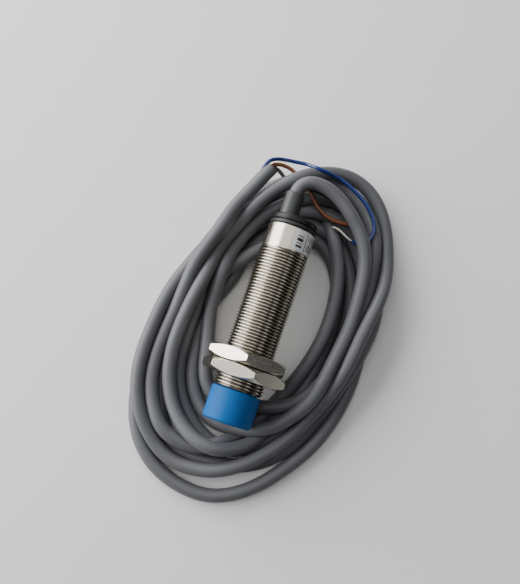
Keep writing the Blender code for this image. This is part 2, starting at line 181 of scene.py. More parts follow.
def frames_along(points):
    """Tangent and two side directions at each point, carried along without twist."""
    tangent = np.gradient(points, axis=0)
    tangent /= np.linalg.norm(tangent, axis=1)[:, None]
    side = np.cross(tangent[0], (0.0, 0.0, 1.0))
    if np.linalg.norm(side) < 0.1:
        side = np.cross(tangent[0], (1.0, 0.0, 0.0))
    sides = []
    for direction in tangent:
        side = side - direction * (side @ direction)
        side = side / np.linalg.norm(side)
        sides.append(side)
    sides = np.array(sides)
    return tangent, sides, np.cross(tangent, sides)


def tube(points, radius, around, start_rows=(), end_rows=()):
    """Points and faces of a round tube: a circle carried along a line, ends closed. The end
    rows are further circles (distance past the end, radius), such as a hollow cut face."""
    points = np.asarray(points, float)
    tangent, side, other = frames_along(points)
    places, sides, others = list(points), list(side), list(other)
    radii = list(np.broadcast_to(np.asarray(radius, float), (len(points),)))
    for past, r in start_rows:
        places.insert(0, points[0] - tangent[0] * past)
        sides.insert(0, side[0])
        others.insert(0, other[0])
        radii.insert(0, r)
    for past, r in end_rows:
        places.append(points[-1] + tangent[-1] * past)
        sides.append(side[-1])
        others.append(other[-1])
        radii.append(r)
    angle = np.linspace(0, math.tau, around, endpoint=False)[None, :, None]
    ring = np.array(sides)[:, None] * np.cos(angle) + np.array(others)[:, None] * np.sin(angle)
    body = np.array(places)[:, None] + np.array(radii)[:, None, None] * ring
    rows = len(places)
    faces = [list(f) for f in grid_faces(rows, around)]
    faces += [list(range(around))[::-1], list(range((rows - 1) * around, rows * around))]
    return body.reshape(-1, 3), faces


def rounded(corners, steps=5):
    """An outline of (y, radius, fillet) corners with each fillet drawn as an arc."""
    places = np.array([c[:2] for c in corners], float)
    out = []
    for k, (y, r, fillet) in enumerate(corners):
        here = places[k]
        if fillet <= 0:
            out.append(here)
            continue
        back = places[k - 1] - here
        ahead = places[(k + 1) % len(places)] - here
        back, ahead = back / np.linalg.norm(back), ahead / np.linalg.norm(ahead)
        half = math.acos(float(np.clip(back @ ahead, -1, 1))) / 2
        middle = here + (back + ahead) / np.linalg.norm(back + ahead) * fillet / math.sin(half)
        first = here + back * fillet / math.tan(half) - middle
        last = here + ahead * fillet / math.tan(half) - middle
        for t in np.linspace(0, 1, steps + 1):
            arm = first * (1 - t) + last * t
            out.append(middle + arm / np.linalg.norm(arm) * fillet)
    return np.array(out)


def lathe(outline, around=96, x=0.0):
    """A closed outline of (y, radius) turned about the line along Y at x."""
    outline = np.asarray(outline, float)
    angle = np.linspace(0, math.tau, around, endpoint=False)
    y, r = outline[:, 0][:, None], outline[:, 1][:, None]
    body = np.stack([x + r * np.sin(angle), y + 0 * angle, r * np.cos(angle)], -1)
    return body.reshape(-1, 3), grid_faces(len(outline), around, wrap_rows=True)


# ---------------------------------------------------------------- the cable's route

# The lead out of the sleeve, and the other loose stretches, as in the CAD model
LEAD_ROUTE = (
    (-2.6, 76.2, 0.0), (-2.3, 77.6, 0.05), (-1.2, 79.6, 0.1), (1.2, 81.3, 0.0),
    (4.4, 82.0, -0.3), (8.0, 81.4, -0.8), (12.0, 79.3, -1.4), (15.4, 76.5, -1.9))
TAIL_ROUTE = (
    (-22.4, 56.0, -3.95), (-20.6, 62.0, -3.9), (-18.6, 68.2, -3.7), (-16.8, 74.0, -3.4),
    (-15.5, 78.0, -3.1), (-14.4, 81.0, -2.9))
BLUE_ROUTE = (
    (-14.95, 81.9, -2.45), (-14.2, 83.9, -2.8), (-12.2, 85.6, -3.7), (-9.4, 86.6, -4.7),
    (-6.0, 87.3, -5.45), (-1.2, 87.8, -5.45), (5.8, 87.4, -5.45), (11.5, 86.2, -5.45),
    (16.3, 84.0, -5.45), (20.7, 81.2, -5.45), (24.0, 77.6, -5.45), (25.6, 73.8, -5.45),
    (24.9, 70.2, -5.45), (22.6, 68.2, -5.45), (19.8, 68.0, -5.45))
TIP_ROUTE = (
    (19.4, 68.15, -5.45), (17.0, 69.2, -5.5), (14.4, 70.4, -5.5), (12.2, 70.6, -5.5))
BROWN_ROUTE = (
    (-13.45, 81.35, -2.45), (-12.6, 83.0, -2.9), (-10.8, 84.2, -3.9), (-8.4, 84.6, -4.9),
    (-6.0, 84.2, -5.45), (-3.5, 83.0, -5.45), (-0.8, 81.3, -5.45), (2.4, 78.8, -5.45),
    (4.9, 75.8, -5.45), (8.7, 73.6, -5.45), (12.4, 72.8, -5.45), (16.0, 73.0, -5.45),
    (18.4, 73.3, -5.45))
BLACK_ROUTE = (
    (-14.2, 81.65, -3.85), (-13.7, 82.8, -4.7), (-12.4, 83.2, -5.4), (-10.6, 82.8, -5.45),
    (-8.6, 81.6, -5.45), (-7.0, 80.4, -5.35), (-4.6, 79.6, -4.9), (-2.2, 79.4, -4.15),
    (0.4, 79.8, -3.85), (3.2, 79.9, -3.85), (6.4, 79.6, -4.3), (10.0, 78.7, -5.0),
    (13.6, 76.9, -5.45))

# Each turn from the rear end and clockwise from above: bearing in degrees, reach as a share
# of the oval, and the layer that it crosses the others in.
TURNS = (
    # out of the sleeve, over the right side, in front of the cap and under the left side
    ((30, 0.835, 1.95), (45, 0.80, 3.2), (60, 0.775, 4.6), (75, 0.765, 5), (90, 0.765, 5),
     (105, 0.755, 5), (120, 0.70, 4.5), (130, 0.685, 4), (140, 0.655, 3), (150, 0.63, 2),
     (160, 0.60, 1.2), (170, 0.58, 1), (180, 0.57, 1), (200, 0.56, 1), (220, 0.57, 1),
     (240, 0.587, 0.6), (255, 0.60, 0.2), (270, 0.62, 0), (285, 0.63, 0), (300, 0.64, 0),
     (330, 0.65, 0)),
    # inner turn
    ((0, 0.645, 0), (30, 0.66, 0), (48, 0.685, 0), (60, 0.68, 0), (75, 0.675, 0),
     (90, 0.67, 0), (120, 0.67, 0), (150, 0.655, 0), (165, 0.645, 0), (180, 0.635, 0),
     (200, 0.63, 1), (220, 0.65, 1.2), (240, 0.68, 1.2), (260, 0.69, 1.2), (275, 0.71, 1),
     (290, 0.73, 1), (305, 0.74, 0.6), (320, 0.735, 0.4), (340, 0.73, 0.3)),
    # light strand right of the sleeve, then under everything to the outside
    ((0, 0.72, 1), (20, 0.735, 1), (35, 0.735, 1), (48, 0.76, 0.6), (60, 0.81, 0.2),
     (75, 0.88, 0), (90, 0.92, 0), (105, 0.96, 0), (115, 0.98, 0), (125, 0.97, 0),
     (135, 0.965, 0), (150, 0.95, 0), (160, 0.94, 0), (180, 0.918, 0), (190, 0.928, 0),
     (200, 0.945, 0), (210, 0.972, 0), (220, 0.99, 0), (235, 1.0, 0), (250, 0.985, 0),
     (270, 0.955, 0), (300, 0.945, 0), (330, 0.92, 0)),
    # across the right side to the inside, under the cap, out again on the left
    ((0, 0.90, 1), (33, 0.895, 1), (53, 0.88, 1.4), (70, 0.83, 2), (90, 0.765, 2.4),
     (105, 0.705, 2.4), (113, 0.66, 2.4), (120, 0.60, 2.2), (128, 0.545, 1.6),
     (138, 0.48, 0.6), (150, 0.45, 0), (165, 0.437, 0), (180, 0.437, 0), (195, 0.45, 0.2),
     (205, 0.475, 1), (220, 0.487, 1.4), (235, 0.487, 1.8), (250, 0.505, 2),
     (260, 0.56, 2.4), (270, 0.625, 2.6), (280, 0.68, 2.8), (290, 0.735, 2.6),
     (300, 0.775, 2), (315, 0.80, 1.6), (335, 0.81, 1.2)),
    # under the lead, outside on the right, floor level in front
    ((0, 0.81, 1), (20, 0.83, 1), (40, 0.86, 1), (60, 0.90, 1), (80, 0.912, 1),
     (100, 0.912, 1), (120, 0.895, 0.8), (135, 0.84, 0.4), (150, 0.79, 0), (165, 0.755, 0),
     (180, 0.745, 0), (190, 0.768, 0), (205, 0.805, 0), (220, 0.815, 0), (235, 0.825, 0),
     (250, 0.80, 0), (265, 0.755, 0.3), (278, 0.70, 0.9), (290, 0.655, 1), (300, 0.625, 0.8),
     (312, 0.605, 0.2), (325, 0.60, 0), (345, 0.60, 0)),
    # inner right, then the highest turn on the left
    ((0, 0.60, 0), (30, 0.595, 0), (60, 0.60, 0), (90, 0.615, 0), (110, 0.625, 0),
     (130, 0.64, 0), (150, 0.66, 0), (165, 0.675, 0.4), (180, 0.685, 1.4), (200, 0.695, 2.4),
     (220, 0.73, 3), (240, 0.7725, 3.6), (255, 0.785, 4.2), (270, 0.80, 5), (280, 0.815, 5.4),
     (290, 0.8375, 5.6), (300, 0.8675, 5.6), (310, 0.905, 5.6), (320, 0.9375, 5.6),
     (340, 0.9575, 5.6)),
    # the outermost turn
    ((0, 0.98, 6), (30, 0.98, 6), (45, 0.955, 6), (60, 0.9075, 6), (70, 0.8625, 6),
     (80, 0.83, 6), (95, 0.812, 6), (110, 0.805, 5.4), (125, 0.805, 4.6), (140, 0.795, 4),
     (160, 0.79, 3.4), (170, 0.80, 3), (180, 0.8075, 2.6), (190, 0.8425, 2.4),
     (200, 0.8675, 2.2), (210, 0.90, 2), (220, 0.9375, 1.8), (230, 0.9825, 1.6),
     (240, 1.0, 1.4), (250, 0.9875, 1.2), (260, 0.9575, 1.2), (270, 0.95, 1.2),
     (290, 0.945, 1.2), (300, 0.94, 1.2), (312, 0.915, 1.2), (325, 0.88, 1.2),
     (345, 0.80, 1)),
    # in along the right side, under the front, and up the left side to the cut end
    ((0, 0.705, 0.3), (15, 0.64, 0.9), (30, 0.60, 0.9), (45, 0.575, 0.4), (60, 0.56, 0),
     (75, 0.553, 0), (90, 0.545, 0), (110, 0.545, 0), (130, 0.55, 0), (150, 0.59, 0),
     (165, 0.64, 0), (178, 0.70, 0.6), (190, 0.735, 1.4), (200, 0.775, 2), (210, 0.83, 2.2),
     (220, 0.855, 2.4), (230, 0.895, 2.6), (240, 0.915, 2.6), (250, 0.905, 2.6),
     (260, 0.90, 2.6), (270, 0.90, 2.8), (280, 0.915, 3), (290, 0.945, 3), (300, 1.0, 3.2),
     (310, 1.04, 3.4), (319, 1.10, 3.6)),
)


def oval(bearing, share):
    """Points of the oval: its centre plus a share of its two half-axes, turned by its tilt."""
    along = np.array([math.sin(OVAL_TURN), math.cos(OVAL_TURN)])
    across = np.array([math.cos(OVAL_TURN), -math.sin(OVAL_TURN)])
    reach = (OVAL_LONG * np.cos(bearing)[:, None] * along
             + OVAL_SHORT * np.sin(bearing)[:, None] * across)
    return OVAL_CENTRE + share[:, None] * reach


def seen_from_eye(plan, height):
    """Plan points of the floor layer moved to a height so that the camera still sees them
    in the same place: they slide towards the point below the eye by their share of its height."""
    foot = EYE[:2]
    base = FLOOR + CABLE_R
    return foot + (plan - foot) * ((EYE[2] - height) / (EYE[2] - base))[:, None]


def pieces_of_curve(keys, values, wanted):
    """Smooth (Catmull-Rom) interpolation of values given at uneven keys."""
    slope = np.gradient(values, keys)
    k = np.clip(np.searchsorted(keys, wanted, side="right") - 1, 0, len(keys) - 2)
    span = keys[k + 1] - keys[k]
    t = (wanted - keys[k]) / span
    return ((2 * t ** 3 - 3 * t ** 2 + 1) * values[k] + (t ** 3 - 2 * t ** 2 + t) * span * slope[k]
            + (-2 * t ** 3 + 3 * t ** 2) * values[k + 1] + (t ** 3 - t ** 2) * span * slope[k + 1])


def cable_plan():
    """The cable's turns before they settle: floor-plane plan points and starting heights."""
    rows = np.array([(360 * turn + bearing, share, layer)
                     for turn, keys in enumerate(TURNS) for bearing, share, layer in keys])
    bearing = np.arange(rows[0, 0], rows[-1, 0], 1.0)
    share = pieces_of_curve(rows[:, 0], rows[:, 1], bearing)
    layer = pieces_of_curve(rows[:, 0], rows[:, 2], bearing)
    plan = oval(np.radians(bearing), share)
    return plan, FLOOR + CABLE_R + LAYER * np.maximum(layer, 0)


def eased(values, width):
    """Values along a line averaged with a bell-shaped weight, width points wide."""
    reach = int(3 * width)
    bell = np.exp(-0.5 * (np.arange(-reach, reach + 1) / width) ** 2)
    bell /= bell.sum()
    padded = np.pad(values, ((reach, reach), (0, 0)), mode="reflect", reflect_type="odd")
    return np.stack([np.convolve(padded[:, k], bell, mode="valid")
                     for k in range(values.shape[1])], -1)


def settle(points, target, held, blocks):
    """Lets the turns sink onto each other. Each round every point drops a little and is drawn
    to its plan place, its shift and height are eased along the line like a stiff cord's, and
    points nearer than a diameter are pushed apart. blocks are fixed balls (place and radius)
    that the cable goes round."""
    count = len(points)
    index = np.arange(count)
    apart = int(2.4 * 2 * CABLE_R / STEP)
    weight = (1 - held)[:, None]
    rest = points.copy()
    for count_of_rounds in range(ROUNDS):
        if count_of_rounds % 8 == 0:
            reach = np.linalg.norm(points[:, None] - points[None], axis=2) < 2 * CABLE_R + 3.5
            reach &= np.abs(index[:, None] - index[None]) > apart
            one, two = np.nonzero(np.triu(reach))
        moved = points.copy()
        moved[:, 2] -= SINK
        wanted = seen_from_eye(target, points[:, 2])
        shift = eased(moved[:, :2] - wanted, 5.0)
        moved[:, :2] = wanted + GIVE * shift
        moved[:, 2] = eased(moved[:, 2:], 3.0)[:, 0]
        moved = rest + weight * (moved - rest)
        passes = 3 if count_of_rounds < ROUNDS - LAST_ROUNDS else 5
        for _ in range(passes):
            gap = moved[one] - moved[two]
            distance = np.linalg.norm(gap, axis=1) + 1e-9
            push = np.maximum(0, 2 * CABLE_R - distance)
            near = push > 0
            shove = (gap / distance[:, None] * push[:, None])[near] * 0.35
            a, b = one[near], two[near]
            wa, wb = weight[a], weight[b]
            share = np.maximum(wa + wb, 1e-6)
            for axis in range(3):
                moved[:, axis] += np.bincount(a, (shove * wa / share)[:, axis] * 2, count)
                moved[:, axis] -= np.bincount(b, (shove * wb / share)[:, axis] * 2, count)
            for ball, radius in blocks:
                gap = moved - ball
                distance = np.linalg.norm(gap, axis=1) + 1e-9
                push = np.maximum(0, radius + CABLE_R - distance) * (1 - held)
                moved += gap / distance[:, None] * push[:, None]
            moved = clear_of_sensor(moved, held)
            moved[:, 2] = np.maximum(moved[:, 2], FLOOR + CABLE_R)
        points = rest + weight * (moved - rest)
    smooth = eased(points, 2.2)
    return rest + weight * (smooth - rest)


def clear_of_sensor(points, held):
    """Free points are pushed out of two cylinders along Y, the barrel and the sleeve."""
    for x, radius, low, high in ((0.0, THREAD_R, -2.0, 67.8), (SLEEVE_X, SLEEVE_R, 67.8, 77.0)):
        across = points[:, [0, 2]] - (x, 0.0)
        distance = np.linalg.norm(across, axis=1) + 1e-9
        push = np.maximum(0, radius + CABLE_R + 0.1 - distance) * (1 - held)
        push *= (points[:, 1] > low) & (points[:, 1] < high)
        points[:, [0, 2]] += across / distance[:, None] * push[:, None]
    return points


def cable_line():
    """The whole cable from the sleeve to the cut end: the lead and the turns joined and eased
    where they meet, the lead and the last stretch held in place while the rest settles."""
    plan, height = cable_plan()
    turns = np.column_stack([plan, height])
    lead = curve_through(LEAD_ROUTE, STEP)
    lead_floor = EYE[:2] + (lead[:, :2] - EYE[:2]) * (
        (EYE[2] - FLOOR - CABLE_R) / (EYE[2] - lead[:, 2]))[:, None]
    target = np.vstack([np.column_stack([lead_floor, lead[:, 2]]), turns])
    join = len(lead)
    path = evenly_all(target, STEP)
    along = lengths_along(path[:, :2])
    lead_length = lengths_along(target[:join, :2])[-1]
    joint = np.exp(-((along - lead_length) / 16.0) ** 4)[:, None]
    path = path * (1 - joint) + eased(path, 3.5) * joint
    held = np.clip(1 - (along - lead_length + 3.0) / 8.0, 0, 1)
    tail = curve_through(TAIL_ROUTE, STEP)
    left = along[-1] - along
    tail_height = np.interp(left, lengths_along(tail), tail[::-1, 2])
    ending = np.clip(1 - (left - 12.0) / 22.0, 0, 1)
    ending = ending * ending * (3 - 2 * ending)
    path[:, 2] = path[:, 2] * (1 - ending) + tail_height * ending
    held = np.maximum(held, ending)
    points = path.copy()
    points[:, :2] = seen_from_eye(path[:, :2], path[:, 2])
    blocks = [(point, WIRE_R)
              for route in (BROWN_ROUTE[4:], BLACK_ROUTE[4:], BLUE_ROUTE[10:], TIP_ROUTE)
              for point in curve_through(route, STEP)]
    return settle(points, path[:, :2], held, blocks)


def evenly_all(points, spacing):
    """Equal spacing in plan, heights carried along."""
    along = lengths_along(points[:, :2])
    wanted = np.linspace(0, along[-1], int(round(along[-1] / spacing)) + 1)
    return np.stack([np.interp(wanted, along, points[:, k]) for k in range(3)], -1)


# ---------------------------------------------------------------- cable and conductors

def lay_over(line, below, reach):
    """Heights that rest a thin line on the cable's turns: over each turn within reach it
    stands on the round of the turn, then the line is eased so that it spans the hollows."""
    gap = np.linalg.norm(line[:, None, :2] - below[None, :, :2], axis=2)
    lift = np.sqrt(np.maximum(reach ** 2 - gap ** 2, 0))
    support = np.where(gap < reach, below[None, :, 2] + lift, FLOOR).max(1)
    eased_support = eased(support[:, None], 3.0)[:, 0]
    return np.maximum(eased_support, support - 0.15)


def conductor(name, route, start, tangent, cable, rests_until):
    """A core of the cable: a circle carried from inside the cut end along its route. Up to the
    given share of its length it rests on the turns, and slides so that it is still seen in the
    same place."""
    fade = 0.08
    inside = start + (np.array(route[0]) - start) * 0.8 - tangent * 1.8
    line = curve_through([inside, *route], 0.7)
    share = lengths_along(line) / lengths_along(line)[-1]
    if rests_until:
        mix = np.clip((rests_until - share) / fade, 0, 1) * np.clip(share / fade, 0, 1)
        route_line = line.copy()
        for _ in range(3):
            above = np.maximum(lay_over(line, cable, CABLE_R + WIRE_R), route_line[:, 2])
            line[:, 2] = eased((route_line[:, 2] * (1 - mix) + above * mix)[:, None], 2.0)[:, 0]
            line[:, :2] = EYE[:2] + (route_line[:, :2] - EYE[:2]) * (
                (EYE[2] - line[:, 2]) / (EYE[2] - route_line[:, 2]))[:, None]
    body, faces = tube(line, WIRE_R, 14, [(0.0, WIRE_R - 0.08)],
                       [(0.06, WIRE_R - 0.1), (0.06, STRAND_R), (-0.1, STRAND_R * 0.5)])
    return make_mesh(name, body, faces), line


def bare_strands(name, route):
    """The twisted, tinned end of a core: one fine wire along the line and six wound about it
    as helices of one turn in each lay length, a little looser towards their ends."""
    lay_length = 5.5
    line = curve_through(route, 0.25)
    tangent, side, other = frames_along(line)
    along = lengths_along(line)[:, None]
    points, faces, count = [], [], 0
    for strand in range(7):
        ring = 0.0 if strand == 6 else TIP_R - STRAND_R
        loose = 1 + 0.35 * np.clip(along / along[-1] - 0.6, 0, 1) * math.sin(2.4 * strand)
        angle = math.tau * (along / lay_length + strand / 6)
        wound = line + ring * loose * (side * np.cos(angle) + other * np.sin(angle))
        last = len(wound) - (strand * 3) % 5
        body, quads = tube(wound[:last], STRAND_R, 8)
        points.append(body)
        faces += [[i + count for i in f] for f in quads]
        count += len(body)
    return make_mesh(name, np.vstack(points), faces)


# ---------------------------------------------------------------- the sensor's pieces

def barrel():
    """The turned barrel. Its thread is a surface wound once round for each pitch: the rows
    run along the helix, and the radius follows the thread's flanks across each pitch."""
    front, thread_end, rear = BARREL_FRONT, THREAD_END, BARREL_REAR
    phases = np.array([0.0, 0.14, 0.27, 0.41, 0.62, 0.80])
    cut = np.array([0.0, 0.0, 0.5, 1.0, 1.0, 0.5])
    turns = int(round((thread_end - front) / PITCH)) + 1
    v = front + (np.arange(turns + 1)[:, None] + phases) * PITCH
    cut = np.tile(cut, turns + 1)
    angle = np.linspace(0, math.tau, 97)
    y = v.reshape(-1, 1) - PITCH * angle / math.tau
    fade = np.clip((y - front) / 0.7, 0, 1) * np.clip((thread_end - y) / 0.9, 0, 1)
    ends = np.where(y < (front + rear) / 2, THREAD_R - 0.55, SMOOTH_R)
    r = ends + fade ** 0.7 * (THREAD_R - THREAD_DEPTH * cut[:, None] - ends)
    y = np.clip(y, front, thread_end)
    before = np.array([(front, BORE_R + 0.15), (front, 7.2)])
    after = rounded([(thread_end, SMOOTH_R, 0), (rear - 2.0, SMOOTH_R, 0), (rear, SMOOTH_R, 0.2),
                     (rear, BORE_R, 0.1), (front + 20.0, BORE_R, 0)], 4)
    rows_y = np.vstack([before[:, :1] + 0 * angle, y, after[:, :1] + 0 * angle])
    rows_r = np.vstack([before[:, 1:] + 0 * angle, r, after[:, 1:] + 0 * angle])
    body = np.stack([rows_r * np.sin(angle), rows_y, rows_r * np.cos(angle)], -1).reshape(-1, 3)
    faces = grid_faces(len(rows_y), len(angle), wrap_rows=True, wrap_columns=False)
    return make_mesh("barrel_turned", body, faces, sharp=55)


def hex_nut(name, front, turn, body):
    """A thin hexagon nut: a closed section whose outer side follows the six flats, with the
    corners turned off by a cone on both faces."""
    angle = math.radians(turn) + np.linspace(0, math.tau, 6 * 10, endpoint=False)
    from_corner = np.mod(angle - math.radians(turn) + 1e-9, math.radians(60)) - math.radians(30)
    side_r = NUT_HALF_FLATS / np.cos(from_corner)
    rear = front + NUT_THICK
    drop = (side_r - NUT_FACE_R) * NUT_SLOPE
    chamfer = 0.5
    flat = np.ones_like(angle)
    section = [(front * flat, (NUT_BORE_R + chamfer) * flat), (front * flat, NUT_FACE_R * flat),
               (front + drop, side_r), (rear - drop, side_r), (rear * flat, NUT_FACE_R * flat),
               (rear * flat, (NUT_BORE_R + chamfer) * flat),
               ((rear - chamfer) * flat, NUT_BORE_R * flat),
               ((front + chamfer) * flat, NUT_BORE_R * flat)]
    y = np.array([row[0] for row in section])
    r = np.array([row[1] for row in section])
    points = np.stack([r * np.sin(angle), y, r * np.cos(angle)], -1).reshape(-1, 3)
    nut = make_mesh(name, points, grid_faces(len(section), len(angle), wrap_rows=True), body,
                    sharp=14)
    edge = nut.modifiers.new("broken edges", 'BEVEL')
    edge.width = 0.1 * MM
    edge.segments = 2
    edge.limit_method = 'ANGLE'
    edge.angle_limit = math.radians(20)
    edge.use_clamp_overlap = True
    edge.harden_normals = True
    return nut


def cap():
    """The blue cap: an outline with a rounded front edge and a skirt, turned about the axis."""
    outline = rounded([
        (0.0, 0.0, 0), (0.0, CAP_R, 0.9), (CAP_BACK, CAP_R, 0.2), (CAP_BACK, SKIRT_R, 0),
        (SKIRT_BACK, SKIRT_R, 0.2), (SKIRT_BACK, CAP_INNER_R, 0), (CAP_WALL, CAP_INNER_R, 0),
        (CAP_WALL, 0.0, 0)], 8)
    body, faces = lathe(outline, 128)
    return make_mesh("cap_moulded", body, faces)


def ring():
    """The smoky ring behind the barrel: a small square section, turned about the axis."""
    outline = rounded([(RING_FRONT, BORE_R, 0), (RING_FRONT, RING_R, 0.12),
                       (RING_REAR, RING_R, 0.12), (RING_REAR, BORE_R, 0)], 4)
    body, faces = lathe(outline, 96)
    return make_mesh("ring_moulded", body, faces)


def rear_cap():
    """The rear cap: an outline turned about the barrel's axis whose two faces close in to the
    round hole beside the axis that the sleeve comes through."""
    around = 96
    angle = np.linspace(0, math.tau, around, endpoint=False)
    outer = rounded([(REAR_CAP_FRONT, 6.3, 0), (REAR_CAP_FRONT, SPIGOT_R, 0.15),
                     (FLANGE_FRONT, SPIGOT_R, 0), (FLANGE_FRONT, RING_R, 0.12),
                     (REAR_CAP_END, RING_R, 0.8), (REAR_CAP_END, 6.3, 0)], 7)
    rows = [np.stack([r * np.sin(angle), y + 0 * angle, r * np.cos(angle)], -1)
            for y, r in outer]
    hole = np.stack([SLEEVE_X + SLEEVE_HOLE_R * np.sin(angle), 0 * angle,
                     SLEEVE_HOLE_R * np.cos(angle)], -1)
    for share in (0.4, 0.8, 1.0):
        rows.append(rows[len(outer) - 1] * (1 - share) + (hole + (0, REAR_CAP_END, 0)) * share)
    rows.append(hole + (0, REAR_CAP_END - 0.5, 0))
    rows.append(hole + (0, REAR_CAP_FRONT, 0))
    body = np.array(rows).reshape(-1, 3)
    return make_mesh("rear_cap_moulded", body, grid_faces(len(rows), around, wrap_rows=True))


def sleeve():
    """The cable's sleeve: a tube with a rounded end that closes in on the cable."""
    inner = 2.55
    outline = rounded([(REAR_CAP_FRONT, inner, 0), (REAR_CAP_FRONT, SLEEVE_R, 0),
                       (67.2, SLEEVE_R, 0), (67.9, SLEEVE_R, 0), (SLEEVE_END, SLEEVE_R, 0.38),
                       (SLEEVE_END, 2.4, 0.08), (74.9, 2.3, 0), (74.0, inner, 0)], 6)
    body, faces = lathe(outline, 64, SLEEVE_X)
    return make_mesh("sleeve_moulded", body, faces)


def label():
    """The thin label: a shallow rectangle of section carried round part of the barrel."""
    angle = np.radians(np.linspace(LABEL_FROM, LABEL_TO, 61))
    low, high, inner, outer, soft = LABEL_LOW, LABEL_HIGH, LABEL_R, LABEL_R + LABEL_THICK, 0.03
    section = [(low, inner), (low, outer - soft), (low + soft, outer), (high - soft, outer),
               (high, outer - soft), (high, inner)]
    rows = [np.stack([r * np.sin(angle), y + 0 * angle, r * np.cos(angle)], -1)
            for y, r in section]
    body = np.array(rows).reshape(-1, 3)
    faces = [list(f) for f in grid_faces(6, len(angle), wrap_rows=True, wrap_columns=False)]
    faces += [[k * len(angle) for k in range(6)], [k * len(angle) + len(angle) - 1 for k in range(6)]]
    return make_mesh("label_printed", body, faces)


def add_print_map(piece):
    """UV map of a piece on the barrel: round the barrel and along it, in centimetres."""
    mesh = piece.data
    co = np.zeros(len(mesh.vertices) * 3)
    mesh.vertices.foreach_get("co", co)
    co = co.reshape(-1, 3) / MM
    of_loop = np.zeros(len(mesh.loops), int)
    mesh.loops.foreach_get("vertex_index", of_loop)
    places = co[of_loop]
    u = np.arctan2(places[:, 0], places[:, 2]) * (LABEL_R + LABEL_THICK) / 10
    v = (places[:, 1] - LABEL_LOW) / 10
    layer = mesh.uv_layers.new(name="print")
    layer.data.foreach_set("uv", np.column_stack([u, v]).ravel())


# ---------------------------------------------------------------- materials

def place(tree, kind, inputs=None, **settings):
    """A node with its settings, and its inputs given as values or linked from sockets."""
    made = tree.nodes.new(kind)
    for key, value in settings.items():
        setattr(made, key, value)
    for key, value in (inputs or {}).items():
        if isinstance(value, bpy.types.NodeSocket):
            tree.links.new(value, made.inputs[key])
        else:
            made.inputs[key].default_value = value
    return made


def new_group(name, inputs, outputs):
    """An empty node group with named inputs and outputs."""
    group = bpy.data.node_groups.new(name, 'ShaderNodeTree')
    kinds = {"f": 'NodeSocketFloat', "c": 'NodeSocketColor', "v": 'NodeSocketVector'}
    for title, kind, default in inputs:
        socket = group.interface.new_socket(name=title, in_out='INPUT', socket_type=kinds[kind])
        socket.default_value = default
    for title, kind in outputs:
        group.interface.new_socket(name=title, in_out='OUTPUT', socket_type=kinds[kind])
    return group, group.nodes.new('NodeGroupInput').outputs, group.nodes.new('NodeGroupOutput')


def surface_group():
    """Tone, sheen and fine relief shared by every finish: two colours mixed in soft patches,
    specks of dust or wear over them, and a fine grain in roughness and height."""
    group, given, out = new_group("tone_and_grain", [
        ("Colour", "c", (0.5, 0.5, 0.5, 1)), ("Second", "c", (0.4, 0.4, 0.4, 1)),
        ("Patch", "f", 120.0), ("Grain", "f", 2500.0), ("Roughness", "f", 0.5),
        ("Spread", "f", 0.1), ("Depth", "f", 0.1), ("Specks", "f", 0.1),
        ("Speck Colour", "c", (0.6, 0.6, 0.58, 1)), ("Stretch", "v", (1, 1, 1))],
        [("Colour", "c"), ("Roughness", "f"), ("Normal", "v")])
    where = place(group, 'ShaderNodeTexCoord').outputs["Object"]
    drawn = place(group, 'ShaderNodeVectorMath', {0: where, 1: given["Stretch"]},
                  operation='MULTIPLY').outputs["Vector"]
    patch = place(group, 'ShaderNodeTexNoise', {
        "Vector": where, "Scale": given["Patch"], "Detail": 4.0, "Roughness": 0.6})
    grain = place(group, 'ShaderNodeTexNoise', {
        "Vector": drawn, "Scale": given["Grain"], "Detail": 3.0, "Roughness": 0.55})
    speck = place(group, 'ShaderNodeTexNoise', {
        "Vector": where, "Scale": 1400.0, "Detail": 2.0, "Roughness": 0.5})
    mixed = colour_mix(group, patch.outputs["Fac"], given["Colour"], given["Second"])
    high = place(group, 'ShaderNodeMapRange', {
        "Value": speck.outputs["Fac"], "From Min": 0.66, "From Max": 0.74, "To Min": 0.0,
        "To Max": given["Specks"]})
    specked = colour_mix(group, high.outputs["Result"], mixed, given["Speck Colour"])
    rough = place(group, 'ShaderNodeMath', {0: grain.outputs["Fac"], 1: 0.5}, operation='SUBTRACT')
    rough = place(group, 'ShaderNodeMath', {
        0: rough.outputs[0], 1: given["Spread"], 2: given["Roughness"]}, operation='MULTIPLY_ADD')
    bump = place(group, 'ShaderNodeBump', {
        "Height": grain.outputs["Fac"], "Strength": given["Depth"], "Distance": 0.0001})
    group.links.new(specked, out.inputs["Colour"])
    group.links.new(rough.outputs[0], out.inputs["Roughness"])
    group.links.new(bump.outputs["Normal"], out.inputs["Normal"])
    return group


def colour_mix(tree, factor, one, two):
    """A colour between two colours."""
    mix = tree.nodes.new('ShaderNodeMix')
    mix.data_type = 'RGBA'
    tree.links.new(factor, mix.inputs[0])
    for socket, value in ((mix.inputs[6], one), (mix.inputs[7], two)):
        if isinstance(value, bpy.types.NodeSocket):
            tree.links.new(value, socket)
        else:
            socket.default_value = value
    return mix.outputs[2]


SURFACE = surface_group()


